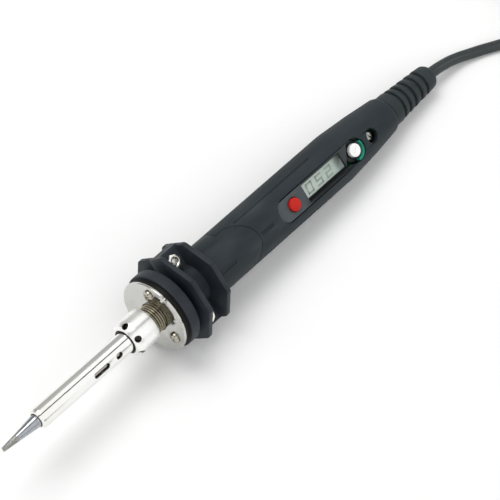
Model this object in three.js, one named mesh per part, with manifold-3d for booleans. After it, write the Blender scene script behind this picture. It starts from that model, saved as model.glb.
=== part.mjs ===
// A mains soldering iron with a temperature display, built as an assembly of separate pieces.
// Units are millimetres. The iron is drawn in its own frame: x runs along its axis from the
// bit's tip to the cord, z points out of the control panel, and y is sideways. The group that
// holds it is then rolled and tilted, so that the iron lies on a facet of its collar.
import * as THREE from "three";
import { mergeVertices } from "three/addons/utils/BufferGeometryUtils.js";
import Module from "manifold-3d";

const wasm = await Module();
wasm.setup();

// ---- Driving dimensions ----
const GAP = 0.3; // between neighbouring pieces
const ROLL = Math.PI / 4; // the iron lies on the facet beside the one under its panel
const ROUND = 24; // sides of a round piece: a multiple of 8 puts a vertex where the iron rests

const BIT = { r: 3.0, bore: 2.15, neck: 2.45, front: 15.6, shoulder: 18.6, end: 61 };
const BARREL = { r: 4.0, bore: 3.5, mouth: 2.75, front: 16.3, flange: 66.0, end: 67.0 };
const SLOTS = [[41.8, 49.4], [52.9, 55.9]]; // air slots, from and to
const SLOT_WIDTH = 2.2;
const SLOT_TURN = 15; // degrees that they are turned away from the panel side
const NUT = { r: 7.05, front: 61.2, side: 64.2, end: 71.7, inside: 65.7, bore: 4.3, thread: 5.85 };
const SLEEVE = { r: 5.55, bore: 3.6, front: 67.3, flangeR: 8.0, flange: 77.3, end: 78.7 };
const PLATE = { r: 14.6, front: 76.0, back: 77.0, screwCircle: 10.5 };
const PLATE_SCREW_ANGLES = [60, 180, 300]; // degrees round from the panel side
const HEATER = { r: 1.85, front: 21.5, end: 86.0, flangeR: 3.1, flange: 69.0 };
const BUSH = { front: 77.3, drum: 79.0, back: 83.7, shoulderR: 14.1, drumR: 15.3 };
const NECK = { r: 6.0, bore: 4.5, end: 112.0 };
const FLANGE_VERTICES = [20, 67.5, 112.5, 157.5]; // degrees either way from the panel side
const FRONT_FLANGE = { from: 86.2, to: 88.2, cornerR: 18.65 };
const REAR_FLANGE = { from: 97.4, to: 99.4, cornerR: 17.1 };
const CORNER_CUT = 1.1; // how far a flange corner is taken back
const HUB = { r: 7.8, bore: 6.3 };
const EAR = { half: 16.2, thick: 2.1 };
const CLAMP = { x: 92.8, y: 11.9, shank: 1.22, hole: 1.45, headR: 2.3, flats: 5.0, nutHole: 1.4 };
const GRIP = { r: 10.3, bore: 8.4, front: 99.7, wall: 101.7, ring: 111.7 };
const TONGUE = { r: 9.1, end: 124.6 };
const SHELL = { r: 10.3, bore: 8.4, front: 111.0, taper: 177.0, waist: 192.0, shoulder: 205.0 };
const SHELL_REAR = { r: 7.65, edge: 6.9, bore: 5.7, end: 206.4 };
const REAR_SPIGOT = { r: 5.2, bore: 3.4, end: 209.8 };
const SPIGOT = { front: 108.0, r: 8.1, bore: 6.6 }; // the shells' front end, inside the grip
const PANEL = { front: 136.5, half: 4.55, rear: 180.6, top: 9.2, bottom: 7.9 };
const PANEL_SLANT = 33; // degrees that its rear edge leans from square across
const WINDOW = { front: 151.6, rear: 173.2, half: 3.9 };
const BUTTON = { x: 144.8, r: 2.55, hole: 2.8, top: 10.5, flange: 3.3, low: 5.9, travel: 0.8 };
const BOARD = { top: 3.2, thick: 1.6, front: 136.0, rear: 196.0, half: 6.3, narrow: 4.6 };
const DISPLAY_END = 174.8; // the glass runs on under the panel
const POT = { x: 180.6, r: 4.3, rimR: 3.6, rim: 9.0, top: 6.5, room: 4.6 };
const RIM_ANGLES = [-95, 30]; // the pot's raised rim, in degrees round from the cord end
const DIAL = { r: 2.6, top: 8.9, bottom: 6.9, shaft: 0.7 };
const TRIMMER = { x: 190.4, side: 4.8, top: 5.6, hole: 2.8, screwR: 1.6, screwTop: 6.8 };
const RELIEF = { socket: 206.8, r: 6.6, socketR: 5.5, neck: 211.2, end: 234.0, endR: 4.9, bore: 2.9 };
const GROOVES = [212.1, 215.6, 219.3, 223.3, 227.2];
const GROOVE = { half: 0.75, floor: 0.5, deep: 1.0 };
const CORD = { wide: 4.8, high: 2.4 }; // a flat twin lead
const HANK = { front: 194, rear: 251, r: 17.0, top: 15.8 }; // the centres and radius of its ends
const PLUG = { rear: 295, front: 321, y: -7, neck: 4.2, wide: 20, high: 12 };
const BLADE = { wide: 6.35, thick: 1.5, long: 16, spacing: 12.7, deep: 9 };

// The cord from the iron to its hank, and from the hank to the plug, on the surface that the
// iron lies on. Positions are in the finished object's frame.
const CORD_ROUTE = [
  [116.9, 0, 5.8],
  [121, -0.2, 5.4],
  [126.3, -0.7, 4.4],
  [130.2, -1.3, 3.5],
  [134, -2.2, 2.6],
  [138.2, -3.8, 1.9],
  [142.4, -5.6, 1.5],
  [146.2, -7.6, 1.35],
  [150, -9.7, 1.3],
  [153.5, -11.7, 1.3],
  [157.5, -13.2, 1.35],
  [162, -14.15, 1.45],
  [168, -14.4, 1.6],
  [174, -14.4, 1.7],
  [181.6, -14.4, 1.7],
];
const TAIL_ROUTE = [
  [264.4, -14.0, 13.8],
  [270, -12.7, 12.3],
  [276, -10.7, 10.1],
  [282, -8.7, 7.9],
  [288, -7.3, 6.35],
  [292, -7, 6.0],
  [294.6, -7, 6.0],
];

// ---- Helpers ----
function solid(geometry) {
  const bare = geometry.clone();
  bare.deleteAttribute("normal");
  bare.deleteAttribute("uv");
  const merged = mergeVertices(bare, 1e-4);
  return new wasm.Manifold(
    new wasm.Mesh({
      numProp: 3,
      vertProperties: merged.attributes.position.array,
      triVerts: new Uint32Array(merged.index.array),
    }),
  );
}

function geometryOf(manifold) {
  const { vertProperties, triVerts } = manifold.getMesh();
  const geometry = new THREE.BufferGeometry();
  geometry.setAttribute("position", new THREE.Float32BufferAttribute(vertProperties, 3));
  geometry.setIndex(Array.from(triVerts));
  geometry.computeVertexNormals();
  return geometry;
}

function cut(geometry, ...tools) {
  return geometryOf(tools.reduce((body, tool) => body.subtract(solid(tool)), solid(geometry)));
}

function join(geometry, ...others) {
  return geometryOf(others.reduce((body, other) => body.add(solid(other)), solid(geometry)));
}

function common(geometry, other) {
  return geometryOf(solid(geometry).intersect(solid(other)));
}

// A body of revolution. The profile's points are [height, radius], and it closes on the axis or
// on itself. It is turned about z, or about x when alongX is true.
function turned(profile, sides, alongX = true) {
  const closed = profile[0][1] > 0 ? [...profile, profile[0]] : profile;
  let area = 0;
  closed.forEach(([h, r], i) => {
    const [h2, r2] = closed[(i + 1) % closed.length];
    area += r * h2 - r2 * h;
  });
  const ordered = area > 0 ? closed : [...closed].reverse();
  const lathe = new THREE.LatheGeometry(ordered.map(([h, r]) => new THREE.Vector2(r, h)), sides);
  return alongX ? lathe.rotateZ(-Math.PI / 2) : lathe.rotateX(Math.PI / 2);
}

// A round rod or hole along z, from z0 to z1.
function rodZ(x, y, z0, z1, radius, sides = 16) {
  return new THREE.CylinderGeometry(radius, radius, z1 - z0, sides)
    .rotateX(Math.PI / 2)
    .translate(x, y, (z0 + z1) / 2);
}

function box(x0, x1, y0, y1, z0, z1) {
  return new THREE.BoxGeometry(x1 - x0, y1 - y0, z1 - z0).translate(
    (x0 + x1) / 2,
    (y0 + y1) / 2,
    (z0 + z1) / 2,
  );
}

// An outline in x and y, raised from z0 to z1.
function raised(shape, z0, z1, curveSegments = 8) {
  return new THREE.ExtrudeGeometry(shape, {
    depth: z1 - z0,
    bevelEnabled: false,
    curveSegments,
  }).translate(0, 0, z0);
}

// An outline in y and z, drawn out along x from x0 to x1.
const ACROSS = new THREE.Matrix4().makeBasis(
  new THREE.Vector3(0, 1, 0),
  new THREE.Vector3(0, 0, 1),
  new THREE.Vector3(1, 0, 0),
);
function drawn(shape, x0, x1) {
  return raised(shape, x0, x1).applyMatrix4(ACROSS);
}

// A slot outline with round ends, centred on the x axis.
function slotShape(front, rear, half) {
  const shape = new THREE.Shape();
  shape.moveTo(front + half, half);
  shape.absarc(front + half, 0, half, Math.PI / 2, (3 * Math.PI) / 2, false);
  shape.absarc(rear, 0, half, -Math.PI / 2, Math.PI / 2, false);
  return shape;
}

function rod(points, radius, steps, sides, flat = 1) {
  const section = new THREE.Shape();
  for (let i = 0; i < sides; i++) {
    const a = (2 * Math.PI * (i + 0.5)) / sides;
    const [u, v] = [radius * Math.cos(a), radius * flat * Math.sin(a)];
    if (i) section.lineTo(u, v);
    else section.moveTo(u, v);
  }
  const path = new THREE.CatmullRomCurve3(points.map((p) => new THREE.Vector3(...p)));
  return new THREE.ExtrudeGeometry(section, { steps, bevelEnabled: false, extrudePath: path });
}

const iron = new THREE.Group();
const object = new THREE.Group();
object.add(iron);

function add(name, geometry, [color, roughness, metalness], group = iron) {
  const material = new THREE.MeshStandardMaterial({ color, roughness, metalness });
  const mesh = new THREE.Mesh(geometry, material);
  mesh.name = name;
  group.add(mesh);
  return mesh;
}

const CHROME = [0xd8d4cc, 0.15, 1];
const STEEL = [0xb8b8b4, 0.35, 1];
const TINNED = [0x9a9c9e, 0.3, 1];
const BLACK = [0x23282c, 0.55, 0];
const SLATE = [0x32393e, 0.6, 0];
const PANEL_GREY = [0x565d66, 0.6, 0];
const CERAMIC = [0xe8e4da, 0.6, 0];
const RED = [0xd7281f, 0.4, 0];
const WHITE = [0xf4f4f2, 0.4, 0];
const GREEN = [0x286e5a, 0.4, 0];
const BOARD_GREEN = [0x2c5c3a, 0.5, 0];
const BLUE = [0x2c4f9a, 0.45, 0];
const DISPLAY = [0xaab8a8, 0.2, 0];
const YELLOW = [0xc9a43a, 0.5, 0];
const RUBBER = [0x1e2225, 0.7, 0];
const CORD_BLACK = [0x191c1e, 0.6, 0];
const BRASS = [0xc9a860, 0.3, 1];

// ---- Heating end ----
function bit() {
  const body = turned(
    [
      [0, 0],
      [0, 0.8],
      [6.5, 1.42],
      [BIT.front, BIT.neck],
      [17.0, BIT.neck],
      [BIT.shoulder, BIT.r],
      [BIT.end, BIT.r],
      [BIT.end, BIT.bore],
      [20.5, BIT.bore],
      [20.0, 0],
    ],
    ROUND,
  );
  const wedge = new THREE.Shape([
    new THREE.Vector2(-0.1, -0.2),
    new THREE.Vector2(6.5, -1.6),
    new THREE.Vector2(BIT.shoulder, -5),
    new THREE.Vector2(BIT.end + 1, -5),
    new THREE.Vector2(BIT.end + 1, 5),
    new THREE.Vector2(BIT.shoulder, 5),
    new THREE.Vector2(6.5, 1.6),
    new THREE.Vector2(-0.1, 0.2),
  ]);
  return common(body, raised(wedge, -6, 6).rotateX(Math.PI / 2));
}

function barrelTube() {
  const tube = turned(
    [
      [BARREL.front, BARREL.mouth],
      [BARREL.front, 3.15],
      [16.8, 3.7],
      [17.6, BARREL.r],
      [BARREL.flange, BARREL.r],
      [BARREL.flange, 5.5],
      [BARREL.end, 5.5],
      [BARREL.end, BARREL.bore],
      [19.0, BARREL.bore],
      [17.6, BARREL.mouth],
    ],
    ROUND,
  );
  const half = SLOT_WIDTH / 2;
  const turn = THREE.MathUtils.degToRad(SLOT_TURN);
  const slots = SLOTS.map(([a, b]) => raised(slotShape(a, b - half, half), -5, 5, 4).rotateX(turn));
  return cut(tube, ...slots);
}

function barrelNut() {
  const { r, front, side, end, inside, bore, thread } = NUT;
  const body = turned(
    [
      [front, bore],
      [front, r - 1.7],
      [front + 0.6, r - 0.9],
      [front + 1.6, r - 0.25],
      [side, r],
      [end - 0.4, r],
      [end, r - 0.4],
      [end, thread],
      [inside, thread],
      [inside, bore],
    ],
    28,
  );
  // Six blind holes round the dome take a pin spanner.
  const holes = [0, 1, 2, 3, 4, 5].map((i) =>
    new THREE.CylinderGeometry(1.35, 1.35, 3, 8)
      .rotateZ(Math.PI / 4)
      .rotateX(Math.PI / 2)
      .translate(front + 1.4, 0, r - 0.6)
      .rotateX((i * Math.PI) / 3),
  );
  return cut(body, ...holes);
}

function threadedSleeve() {
  const { r, bore, front, flangeR, flange, end } = SLEEVE;
  const outline = [
    [front, bore],
    [front, r - 0.4],
    [front + 0.4, r],
    [flange, r],
    [flange, flangeR],
    [end, flangeR],
    [end, bore],
  ];
  return turned(outline, ROUND);
}

function flangePlate() {
  const hole = SLEEVE.r + GAP;
  const disc = turned(
    [
      [PLATE.front, hole],
      [PLATE.front, PLATE.r],
      [PLATE.back, PLATE.r],
      [PLATE.back, hole],
    ],
    ROUND,
  );
  return cut(disc, ...PLATE_SCREW_ANGLES.map((a) => screwHole(a, PLATE.front - 1, 1.3)));
}

// A rod along x through a plate screw's place.
function screwHole(angle, from, radius, long = 4) {
  return new THREE.CylinderGeometry(radius, radius, long, 12)
    .rotateZ(Math.PI / 2)
    .translate(from + long / 2, 0, PLATE.screwCircle)
    .rotateX(THREE.MathUtils.degToRad(angle));
}

function plateScrew(angle) {
  const head = turned(
    [
      [PLATE.front - 1.35, 0],
      [PLATE.front - 1.35, 1.3],
      [PLATE.front - 1.0, 1.9],
      [PLATE.front - 0.1, 2.15],
      [PLATE.front - 0.1, 1.0],
      [82.0, 1.0],
      [82.6, 0],
    ],
    12,
  );
  const cross = [
    box(PLATE.front - 2, PLATE.front - 0.75, -1.2, 1.2, -0.25, 0.25),
    box(PLATE.front - 2, PLATE.front - 0.75, -0.25, 0.25, -1.2, 1.2),
  ];
  return cut(head, ...cross)
    .translate(0, 0, PLATE.screwCircle)
    .rotateX(THREE.MathUtils.degToRad(angle));
}

add("bit", bit(), TINNED);
add("barrel_tube", barrelTube(), CHROME);
add("barrel_nut", barrelNut(), CHROME);
add(
  "heater_rod",
  turned(
    [
      [HEATER.front, 0],
      [HEATER.front, HEATER.r],
      [HEATER.flange, HEATER.r],
      [HEATER.flange, HEATER.flangeR],
      [HEATER.flange + 2, HEATER.flangeR],
      [HEATER.flange + 2, HEATER.r],
      [HEATER.end, HEATER.r],
      [HEATER.end, 0],
    ],
    16,
  ),
  CERAMIC,
);
add("threaded_sleeve", threadedSleeve(), BRASS);
add("flange_plate", flangePlate(), CHROME);
PLATE_SCREW_ANGLES.forEach((a, i) => add(`plate_screw_${i + 1}`, plateScrew(a), CHROME));

// ---- Collar ----
function frontBush() {
  const recess = SLEEVE.flangeR + GAP;
  const body = turned(
    [
      [BUSH.front, recess],
      [BUSH.front, BUSH.shoulderR],
      [BUSH.drum, BUSH.shoulderR],
      [BUSH.drum, BUSH.drumR - 0.3],
      [BUSH.drum + 0.4, BUSH.drumR],
      [BUSH.back, BUSH.drumR],
      [BUSH.back, NECK.r],
      [NECK.end, NECK.r],
      [NECK.end, NECK.bore],
      [SLEEVE.end + GAP, NECK.bore],
      [SLEEVE.end + GAP, recess],
    ],
    ROUND,
  );
  return cut(body, ...PLATE_SCREW_ANGLES.map((a) => screwHole(a, 77, 1.25, 6)));
}

// A collar flange's outline: eight sides with the corners taken off.
function flangeShape(cornerR) {
  const angles = [...FLANGE_VERTICES, ...[...FLANGE_VERTICES].reverse().map((a) => 360 - a)];
  const corners = angles.map((a) => {
    const t = THREE.MathUtils.degToRad(a);
    return new THREE.Vector2(-cornerR * Math.sin(t), cornerR * Math.cos(t));
  });
  const points = corners.flatMap((corner, i) => {
    const before = corners[(i + 7) % 8];
    const after = corners[(i + 1) % 8];
    return [before, after].map((other) =>
      corner.clone().add(other.clone().sub(corner).setLength(CORNER_CUT)),
    );
  });
  return new THREE.Shape(points);
}

function collarHalf(side) {
  const flanges = [FRONT_FLANGE, REAR_FLANGE].map(({ from, to, cornerR }) =>
    drawn(flangeShape(cornerR), from, to),
  );
  const [from, to] = [FRONT_FLANGE.from + 0.5, REAR_FLANGE.to - 0.5];
  const hub = new THREE.CylinderGeometry(HUB.r, HUB.r, to - from, ROUND)
    .rotateZ(Math.PI / 2)
    .translate((from + to) / 2, 0, 0);
  const ears = box(from, to, -EAR.half, EAR.half, -EAR.thick, EAR.thick);
  const whole = join(flanges[0], flanges[1], hub, ears);
  const bore = new THREE.CylinderGeometry(HUB.bore, HUB.bore, 40, ROUND)
    .rotateZ(Math.PI / 2)
    .translate(92, 0, 0);
  const holes = [-1, 1].map((k) => rodZ(CLAMP.x, k * CLAMP.y, -5, 5, CLAMP.hole, 14));
  const seam = GAP / 2;
  const keep = side > 0 ? box(80, 105, -30, 30, seam, 30) : box(80, 105, -30, 30, -30, -seam);
  return common(cut(whole, bore, ...holes), keep);
}

function clampBolt(y) {
  const under = -EAR.thick - GAP;
  const bolt = turned(
    [
      [under - 1.6, 0],
      [under - 1.6, CLAMP.headR - 0.4],
      [under - 1.2, CLAMP.headR],
      [under, CLAMP.headR],
      [under, CLAMP.shank],
      [4.0, CLAMP.shank],
      [4.2, CLAMP.shank - 0.2],
      [4.2, 0],
    ],
    16,
    false,
  );
  const cross = [
    box(-1.3, 1.3, -0.28, 0.28, under - 2, under - 0.8),
    box(-0.28, 0.28, -1.3, 1.3, under - 2, under - 0.8),
  ];
  return cut(bolt, ...cross).translate(CLAMP.x, y, 0);
}

function clampNut(y) {
  const above = EAR.thick + GAP;
  const hex = new THREE.CylinderGeometry(1, 1, 2, 6)
    .scale(CLAMP.flats / Math.sqrt(3), 1, CLAMP.flats / Math.sqrt(3))
    .rotateX(Math.PI / 2)
    .rotateZ(Math.PI / 6 + 0.6)
    .translate(0, 0, above + 1);
  return cut(hex, rodZ(0, 0, above - 1, above + 3, CLAMP.nutHole)).translate(CLAMP.x, y, 0);
}

add("front_bush", frontBush(), BLACK);
add("collar_upper", collarHalf(1), BLACK);
add("collar_lower", collarHalf(-1), BLACK);
[CLAMP.y, -CLAMP.y].forEach((y, i) => {
  add(`clamp_bolt_${i + 1}`, clampBolt(y), STEEL);
  add(`clamp_nut_${i + 1}`, clampNut(y), CHROME);
});

// ---- Handle ----
// Seen from above: the grip's ring, and the round tongue that it ends in over the handle's top
// and under it. The room is how far this stands off from the grip itself.
function tongueShape(room) {
  const [ring, radius, side] = [GRIP.ring + room, TONGUE.r + room, 15];
  const shape = new THREE.Shape();
  shape.moveTo(90, -side);
  shape.lineTo(ring, -side);
  shape.lineTo(ring, -radius);
  shape.absarc(TONGUE.end - TONGUE.r, 0, radius, -Math.PI / 2, Math.PI / 2, false);
  shape.lineTo(ring, radius);
  shape.lineTo(ring, side);
  shape.lineTo(90, side);
  return shape;
}

function frontGrip() {
  const tube = turned(
    [
      [GRIP.front, NECK.r + GAP],
      [GRIP.front, GRIP.r],
      [TONGUE.end + 2, GRIP.r],
      [TONGUE.end + 2, GRIP.bore],
      [GRIP.wall, GRIP.bore],
      [GRIP.wall, NECK.r + GAP],
    ],
    ROUND,
  );
  return common(tube, raised(tongueShape(0), -12, 12, 9));
}

function shellTube() {
  const { r, bore, front, taper, waist, shoulder } = SHELL;
  return turned(
    [
      [SPIGOT.front, SPIGOT.bore],
      [SPIGOT.front, SPIGOT.r],
      [front, SPIGOT.r],
      [front, r],
      [taper, r],
      [waist, 9.1],
      [shoulder, SHELL_REAR.r],
      [SHELL_REAR.end - 0.3, SHELL_REAR.edge + 0.4],
      [SHELL_REAR.end, SHELL_REAR.edge],
      [SHELL_REAR.end, REAR_SPIGOT.r],
      [REAR_SPIGOT.end, REAR_SPIGOT.r],
      [REAR_SPIGOT.end, REAR_SPIGOT.bore],
      [shoulder - 1.5, REAR_SPIGOT.bore],
      [shoulder - 2, SHELL_REAR.bore],
      [taper, bore],
      [TONGUE.end + 3, bore],
      [TONGUE.end + 1, SPIGOT.bore],
    ],
    ROUND,
  );
}

// What the grip leaves for the shells: outside its bore they start behind its ring and tongues.
function gripRoom() {
  const ring = turned(
    [
      [90, SPIGOT.r],
      [90, 14],
      [130, 14],
      [130, SPIGOT.r],
    ],
    ROUND,
  );
  return common(ring, raised(tongueShape(GAP), -15, 15, 9));
}

function handleShell(side) {
  const seam = GAP / 2;
  const keep = side > 0 ? box(100, 215, -15, 15, seam, 15) : box(100, 215, -15, 15, -15, -seam);
  const half = cut(common(shellTube(), keep), gripRoom());
  if (side < 0) return half;
  const opening = raised(slotShape(PANEL.front - GAP, PANEL.rear, PANEL.half + GAP), 7.6, 12, 10);
  const potRoom = rodZ(POT.x, 0, 5, 12, POT.room, 24);
  return cut(half, opening, potRoom, rodZ(TRIMMER.x, 0, 3, 12, TRIMMER.hole));
}

// The panel's rear edge slants across in front of the dial. It is open on one side of the
// window's rear end, where the window and the dial's recess meet.
function controlPanel() {
  const plate = raised(slotShape(PANEL.front, PANEL.rear, PANEL.half), PANEL.bottom, PANEL.top, 10);
  const { front, rear, half } = WINDOW;
  const slant = THREE.MathUtils.degToRad(PANEL_SLANT);
  const beyond = box(-POT.room, 20, -20, 20, 5, 12).rotateZ(-slant).translate(POT.x, 0, 0);
  return cut(
    plate,
    box(front, rear, -half, half, 5, 12),
    rodZ(BUTTON.x, 0, 5, 12, BUTTON.hole, 20),
    beyond,
  );
}

add("front_grip", frontGrip(), SLATE);
add("handle_upper", handleShell(1), SLATE);
add("handle_lower", handleShell(-1), SLATE);
add("control_panel", controlPanel(), PANEL_GREY);

// ---- Controls ----
function redButton() {
  return turned(
    [
      [BUTTON.low, 0],
      [BUTTON.low, 1.2],
      [6.8, 1.2],
      [6.8, BUTTON.flange],
      [PANEL.bottom - 0.4, BUTTON.flange],
      [PANEL.bottom - 0.4, BUTTON.r],
      [BUTTON.top - 0.6, BUTTON.r],
      [BUTTON.top - 0.2, BUTTON.r - 0.5],
      [BUTTON.top, 0],
    ],
    20,
    false,
  ).translate(BUTTON.x, 0, 0);
}

function tactSwitch() {
  const low = BOARD.top + GAP;
  const base = box(BUTTON.x - 3, BUTTON.x + 3, -3, 3, low, low + 1);
  const plunger = BUTTON.low - BUTTON.travel - 0.2;
  return join(base, rodZ(BUTTON.x, 0, low + 0.9, plunger, 1.5, 12));
}

// The pot's round body, with a guard that stands up round one side of its dial.
function temperaturePot() {
  const low = BOARD.top + GAP;
  const body = cut(rodZ(0, 0, low, POT.top, POT.r, 24), rodZ(0, 0, 4.3, 12, 1.0, 12));
  const [from, to] = RIM_ANGLES.map(THREE.MathUtils.degToRad);
  const rim = new THREE.Shape();
  rim.absarc(0, 0, POT.r, from, to, false);
  rim.absarc(0, 0, POT.rimR, to, from, true);
  return join(body, raised(rim, POT.top - 0.5, POT.rim, 10)).translate(POT.x, 0, 0);
}

function temperatureDial() {
  const dial = turned(
    [
      [4.7, 0],
      [4.7, DIAL.shaft],
      [DIAL.bottom, DIAL.shaft],
      [DIAL.bottom, DIAL.r],
      [DIAL.top - 0.3, DIAL.r],
      [DIAL.top, DIAL.r - 0.3],
      [DIAL.top, 0],
    ],
    20,
    false,
  );
  return cut(dial, box(-1.7, 1.7, -0.35, 0.35, DIAL.top - 0.5, 10)).translate(POT.x, 0, 0);
}

function trimmer() {
  const half = TRIMMER.side / 2;
  const body = box(TRIMMER.x - half, TRIMMER.x + half, -half, half, BOARD.top + GAP, TRIMMER.top);
  return cut(body, rodZ(TRIMMER.x, 0, 4.4, 7, 0.9, 12));
}

function trimmerScrew() {
  const top = TRIMMER.screwTop;
  const screw = turned(
    [
      [4.8, 0],
      [4.8, 0.6],
      [top - 0.6, 0.6],
      [top - 0.6, TRIMMER.screwR],
      [top, TRIMMER.screwR],
      [top, 0],
    ],
    14,
    false,
  );
  return cut(screw, box(-2, 2, -0.22, 0.22, top - 0.35, 8)).translate(TRIMMER.x, 0, 0);
}

add("red_button", redButton(), RED);
add("tact_switch", tactSwitch(), BLACK);
add("temperature_pot", temperaturePot(), GREEN);
add("temperature_dial", temperatureDial(), WHITE);
add("calibration_trimmer", trimmer(), BLUE);
add("calibration_screw", trimmerScrew(), BRASS);

// ---- Electronics ----
const boardShape = new THREE.Shape([
  new THREE.Vector2(BOARD.front, -BOARD.half),
  new THREE.Vector2(181, -BOARD.half),
  new THREE.Vector2(185, -BOARD.narrow),
  new THREE.Vector2(BOARD.rear, -BOARD.narrow),
  new THREE.Vector2(BOARD.rear, BOARD.narrow),
  new THREE.Vector2(185, BOARD.narrow),
  new THREE.Vector2(181, BOARD.half),
  new THREE.Vector2(BOARD.front, BOARD.half),
]);
const boardLow = BOARD.top - BOARD.thick;
const under = boardLow - GAP;
add("circuit_board", raised(boardShape, boardLow, BOARD.top), BOARD_GREEN);
add("display_holder", box(150.2, DISPLAY_END + 0.8, -5, 5, BOARD.top + GAP, 5.5), BLACK);
add("display_glass", box(150.6, DISPLAY_END, -2.85, 2.85, 5.8, 6.5), DISPLAY);
add("triac", box(141, 145.6, -2.3, 2.3, under - 4.6, under), BLACK);
add("film_capacitor", box(149, 160, -2.6, 2.6, under - 6.4, under), YELLOW);
const electrolytic = new THREE.CylinderGeometry(2.5, 2.5, 11, 16)
  .rotateZ(Math.PI / 2)
  .translate(170, 0, under - 2.5);
add("electrolytic_capacitor", electrolytic, BLUE);

// Four leads run from the heater through the neck to the front edge of the circuit board.
[
  [-1, 1],
  [1, 1],
  [-1, -1],
  [1, -1],
].forEach(([y, z], i) => {
  const route = [
    [HEATER.end + GAP, 0.8 * y, 0.8 * z],
    [95, 1.6 * y, 1.6 * z],
    [115, 1.8 * y, 1.6 * z],
    [BOARD.front - GAP, (z > 0 ? 1.6 : 4.4) * y, 2.4],
  ];
  add(`heater_lead_${i + 1}`, rod(route, 0.45, 10, 6), i % 2 ? WHITE : RED);
});

// Two cores run from the board's rear edge through the strain relief to the cord.
[-1, 1].forEach((y, i) => {
  const route = [
    [BOARD.rear + GAP, 3.0 * y, 2.4],
    [202, 1.5 * y, 0.8],
    [208, 1.35 * y, 0],
    [RELIEF.end - 0.4, 1.35 * y, 0],
  ];
  add(`mains_core_${i + 1}`, rod(route, 1.0, 12, 8), i ? BLUE : [0x6a4528, 0.6, 0]);
});

// ---- Strain relief ----
function strainRelief() {
  const { socket, r, socketR, neck, end, endR, bore } = RELIEF;
  const { half, floor, deep } = GROOVE;
  const outer = [
    [socket, socketR],
    [socket, r - 0.2],
    [socket + 0.4, r],
    [neck, r - 0.1],
  ];
  const ribR = (x) => r - 0.2 + ((endR + 0.2 - r) * (x - neck)) / (end - neck);
  for (const x of GROOVES) {
    outer.push([x - half, ribR(x)], [x - floor, ribR(x) - deep]);
    outer.push([x + floor, ribR(x) - deep], [x + half, ribR(x)]);
  }
  outer.push([end - 1.5, endR], [end - 0.4, endR - 0.6], [end, endR - 1.6], [end, bore]);
  outer.push([210.4, bore], [210.4, socketR]);
  return turned(outer, 20);
}
add("strain_relief", strainRelief(), RUBBER);

// ---- Resting pose: rolled on its axis, then tilted so that collar and handle touch down ----
const facetR = FRONT_FLANGE.cornerR * Math.cos(Math.PI / 8);
const tilt = Math.atan2(facetR - SHELL.r, SHELL.taper - FRONT_FLANGE.to);
iron.rotation.set(ROLL, tilt, 0, "YXZ");
object.updateMatrixWorld(true);
const rested = new THREE.Box3().setFromObject(object, true);
iron.position.set(
  -(rested.min.x + rested.max.x) / 2,
  -(rested.min.y + rested.max.y) / 2,
  -rested.min.z,
);

// ---- Cord, hank and plug, on the surface that the iron lies on ----
const flatness = CORD.high / CORD.wide;
add("mains_cord", rod(CORD_ROUTE, CORD.wide / 2, 14, 8, flatness), CORD_BLACK, object);
add("cord_tail", rod(TAIL_ROUTE, CORD.wide / 2, 6, 8, flatness), CORD_BLACK, object);

// The hank is the outer shape of the cord's turns, folded in line with the iron.
function hank() {
  const shape = new THREE.Shape();
  shape.moveTo(HANK.front, HANK.r);
  shape.absarc(HANK.front, 0, HANK.r, Math.PI / 2, (3 * Math.PI) / 2, false);
  shape.absarc(HANK.rear, 0, HANK.r, -Math.PI / 2, Math.PI / 2, false);
  return raised(shape, 0, HANK.top, 14);
}

// The plug widens from its neck, and its two blades stand in pockets in its face.
function plugBody() {
  const { rear, front, neck, wide, high } = PLUG;
  const edge = 1.2;
  const shape = new THREE.Shape();
  shape.moveTo(rear + edge, -neck);
  shape.quadraticCurveTo(rear + 9, -neck, rear + 11, edge - wide / 2);
  shape.lineTo(front - edge, edge - wide / 2);
  shape.lineTo(front - edge, wide / 2 - edge);
  shape.lineTo(rear + 11, wide / 2 - edge);
  shape.quadraticCurveTo(rear + 9, neck, rear + edge, neck);
  const body = new THREE.ExtrudeGeometry(shape, {
    depth: high - 2 * edge,
    bevelSize: edge,
    bevelThickness: edge,
    bevelSegments: 2,
    curveSegments: 6,
  }).translate(0, PLUG.y, edge);
  const pockets = [-1, 1].map((side) => bladeBox(side, GAP));
  return cut(body, ...pockets);
}

function bladeBox(side, room = 0) {
  const y = PLUG.y + (side * BLADE.spacing) / 2;
  const [half, tall] = [BLADE.thick / 2 + room, BLADE.wide / 2 + room];
  const middle = PLUG.high / 2;
  const inner = PLUG.front - BLADE.deep - room;
  const outer = PLUG.front + BLADE.long;
  return box(inner, outer, y - half, y + half, middle - tall, middle + tall);
}

add("cord_hank", hank(), CORD_BLACK, object);
add("plug_body", plugBody(), CORD_BLACK, object);
[-1, 1].forEach((side, i) => add(`plug_blade_${i + 1}`, bladeBox(side), BRASS, object));

export default object;
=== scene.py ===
import math

import bmesh
import bpy
from mathutils import Matrix, Vector


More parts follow.
